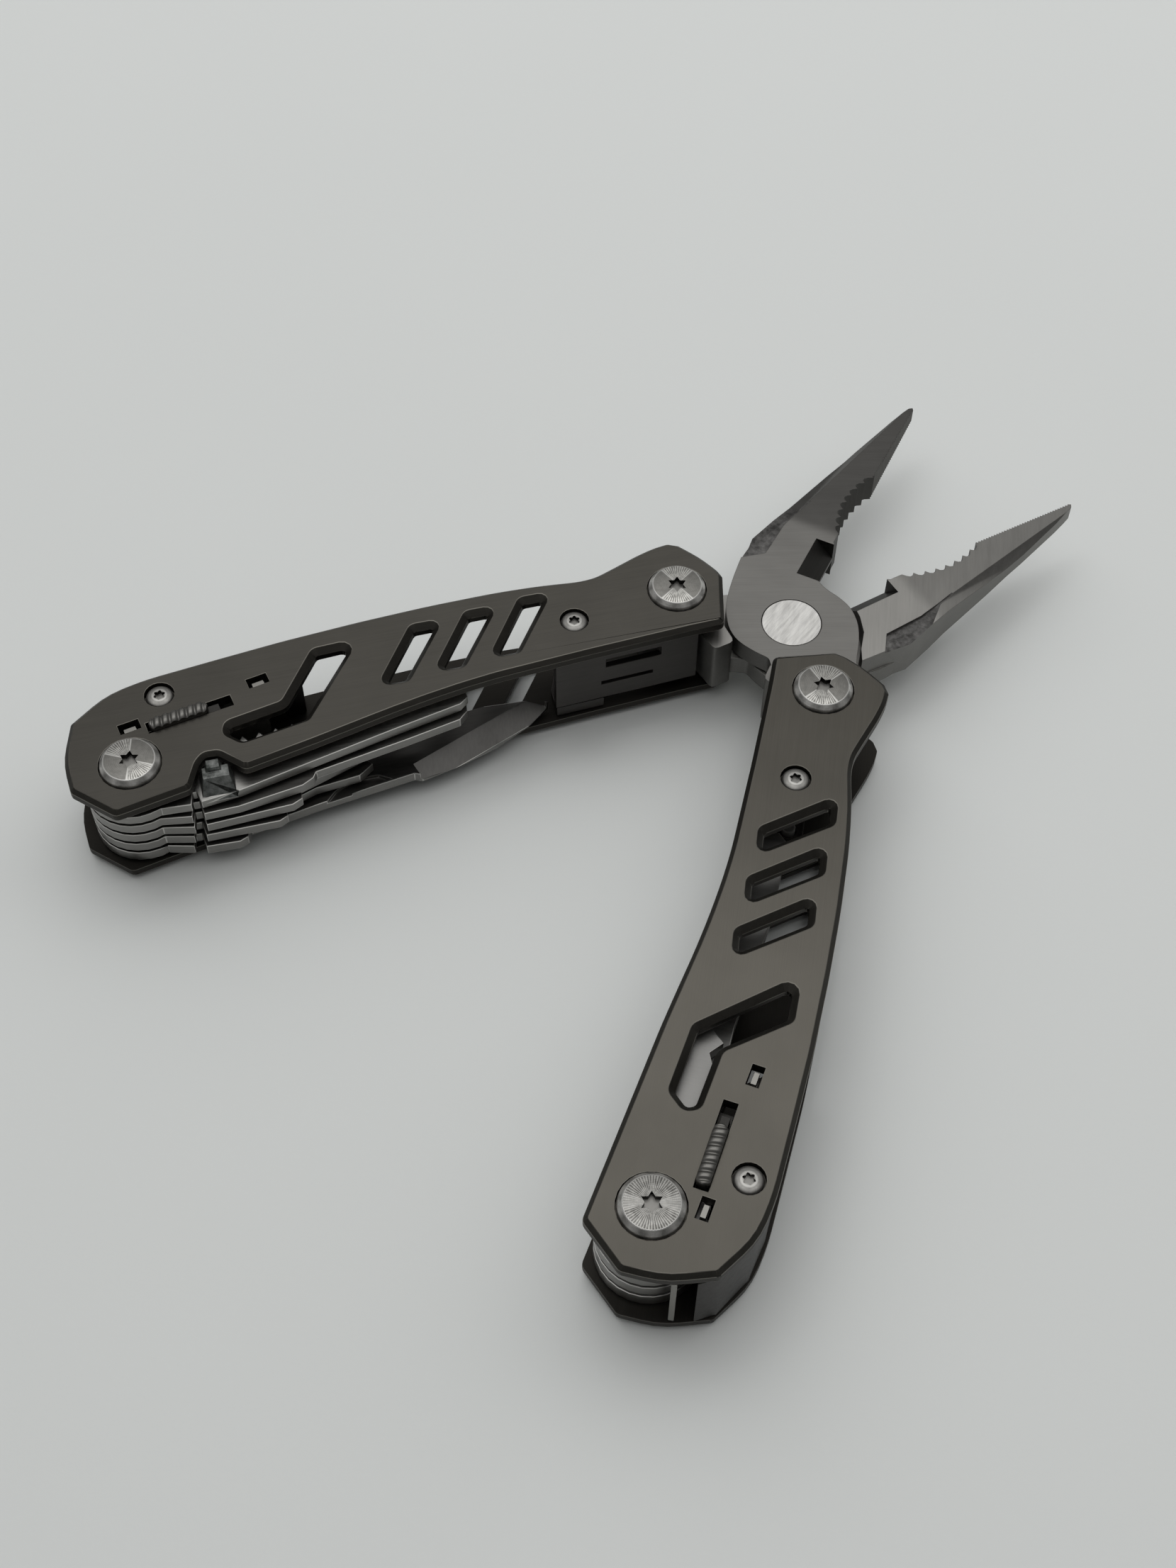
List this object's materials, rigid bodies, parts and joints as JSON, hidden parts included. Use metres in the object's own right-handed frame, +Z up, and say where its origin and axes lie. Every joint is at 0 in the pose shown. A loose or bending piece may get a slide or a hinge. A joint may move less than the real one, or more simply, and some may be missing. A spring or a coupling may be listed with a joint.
{
  "type": "multi tool",
  "caption": "Folding multi tool with sprung needle-nose pliers between slotted handles that hold a knife, saw, file, awl, openers and drivers, with thumb-slide locks.",
  "frame": {"origin": "centre of the bounding box at its lowest level, which is the surface that the pivot heads lie on", "axes": "+X along the longest extent, from the tail of the left handle towards the jaw tips; +Z up, along every pivot; +Y completes the frame"},
  "size_m": [0.1731, 0.1453, 0.0191],
  "materials": {
    "scale_metal": "dark gunmetal, brushed along the handle",
    "fastener_steel": "bright turned steel",
    "jaw_steel": "satin",
    "frame_steel": "dark satin",
    "slider_steel": "bead blasted",
    "tool_steel": "satin ground"
  },
  "bodies": {
    "left_handle": {"left_guide_bar": "frame_steel", "left_head_pivot_screw": "fastener_steel", "left_head_pivot_sleeve": "fastener_steel", "left_liner": "frame_steel", "left_plate_bottom": "scale_metal", "left_plate_top": "scale_metal", "left_screw_head_bottom": "fastener_steel", "left_screw_head_top": "fastener_steel", "left_screw_tail_bottom": "fastener_steel", "left_screw_tail_top": "fastener_steel", "left_spine": "frame_steel", "left_tail_pivot_screw": "fastener_steel", "left_tail_pivot_sleeve": "fastener_steel"},
    "jaw_b": {"jaw_b": "jaw_steel", "main_rivet": "fastener_steel", "jaw_spring": "jaw_steel"},
    "jaw_a": {"jaw_a": "jaw_steel"},
    "right_handle": {"right_guide_bar": "frame_steel", "right_head_pivot_screw": "fastener_steel", "right_head_pivot_sleeve": "fastener_steel", "right_liner": "frame_steel", "right_lock_leaf": "frame_steel", "right_plate_bottom": "scale_metal", "right_plate_top": "scale_metal", "right_screw_head_bottom": "fastener_steel", "right_screw_head_top": "fastener_steel", "right_screw_tail_bottom": "fastener_steel", "right_screw_tail_top": "fastener_steel", "right_spine": "frame_steel", "right_tail_pivot_screw": "fastener_steel", "right_tail_pivot_sleeve": "fastener_steel"},
    "left_saw": {"left_saw": "tool_steel"},
    "left_driver": {"left_driver": "tool_steel"},
    "left_awl": {"left_awl": "tool_steel"},
    "left_can_opener": {"left_can_opener": "tool_steel"},
    "left_knife": {"left_knife": "tool_steel"},
    "left_lock_slider": {"left_lock_slider": "slider_steel"},
    "right_bottle_opener": {"right_bottle_opener": "tool_steel"},
    "right_file": {"right_file": "tool_steel"},
    "right_serrated_blade": {"right_serrated_blade": "tool_steel"},
    "right_cross_driver": {"right_cross_driver": "tool_steel"},
    "right_lock_slider": {"right_lock_slider": "slider_steel"}
  },
  "joints": [
    {"name": "left_handle_fold", "type": "hinge", "parent": "left_handle", "child": "jaw_b", "pos_m": [0.01332, 0.03883, 0.0091], "axis": [0, 0, 1], "range_deg": [0, 135]},
    {"name": "jaw_close", "type": "hinge", "parent": "jaw_b", "child": "jaw_a", "pos_m": [0.0304, 0.03055, 0.0091], "axis": [0, 0, -1], "range_deg": [0, 33.5], "stiffness_Nm_per_rad": 0.2, "springref_deg": -17.19},
    {"name": "right_handle_fold", "type": "hinge", "parent": "jaw_a", "child": "right_handle", "pos_m": [0.02835, 0.0126, 0.0091], "axis": [0, 0, 1], "range_deg": [0, 135]},
    {"name": "left_saw_open", "type": "hinge", "parent": "left_handle", "child": "left_saw", "pos_m": [-0.0769, 0.03034, 0.0091], "axis": [0, 0, -1], "range_deg": [0, 170]},
    {"name": "left_driver_open", "type": "hinge", "parent": "left_handle", "child": "left_driver", "pos_m": [-0.0769, 0.03034, 0.0091], "axis": [0, 0, -1], "range_deg": [0, 170]},
    {"name": "left_awl_open", "type": "hinge", "parent": "left_handle", "child": "left_awl", "pos_m": [-0.0769, 0.03034, 0.0091], "axis": [0, 0, -1], "range_deg": [0, 170]},
    {"name": "left_can_opener_open", "type": "hinge", "parent": "left_handle", "child": "left_can_opener", "pos_m": [-0.0769, 0.03034, 0.0091], "axis": [0, 0, -1], "range_deg": [0, 170]},
    {"name": "left_knife_open", "type": "hinge", "parent": "left_handle", "child": "left_knife", "pos_m": [-0.0769, 0.03034, 0.0091], "axis": [0, 0, -1], "range_deg": [0, 170]},
    {"name": "right_bottle_opener_open", "type": "hinge", "parent": "right_handle", "child": "right_bottle_opener", "pos_m": [-0.02449, -0.06102, 0.0091], "axis": [0, 0, 1], "range_deg": [0, 170]},
    {"name": "right_file_open", "type": "hinge", "parent": "right_handle", "child": "right_file", "pos_m": [-0.02449, -0.06102, 0.0091], "axis": [0, 0, 1], "range_deg": [0, 170]},
    {"name": "right_serrated_blade_open", "type": "hinge", "parent": "right_handle", "child": "right_serrated_blade", "pos_m": [-0.02449, -0.06102, 0.0091], "axis": [0, 0, 1], "range_deg": [0, 170]},
    {"name": "right_cross_driver_open", "type": "hinge", "parent": "right_handle", "child": "right_cross_driver", "pos_m": [-0.02449, -0.06102, 0.0091], "axis": [0, 0, 1], "range_deg": [0, 170]},
    {"name": "left_lock_slide", "type": "slide", "parent": "left_handle", "child": "left_lock_slider", "axis": [0.9929, 0.1187, 0], "range_m": [0, 0.002], "stiffness_N_per_m": 200, "springref_m": -0.001},
    {"name": "right_lock_slide", "type": "slide", "parent": "right_handle", "child": "right_lock_slider", "axis": [0.6033, 0.7975, 0], "range_m": [0, 0.002], "stiffness_N_per_m": 200, "springref_m": -0.001}
  ]
}
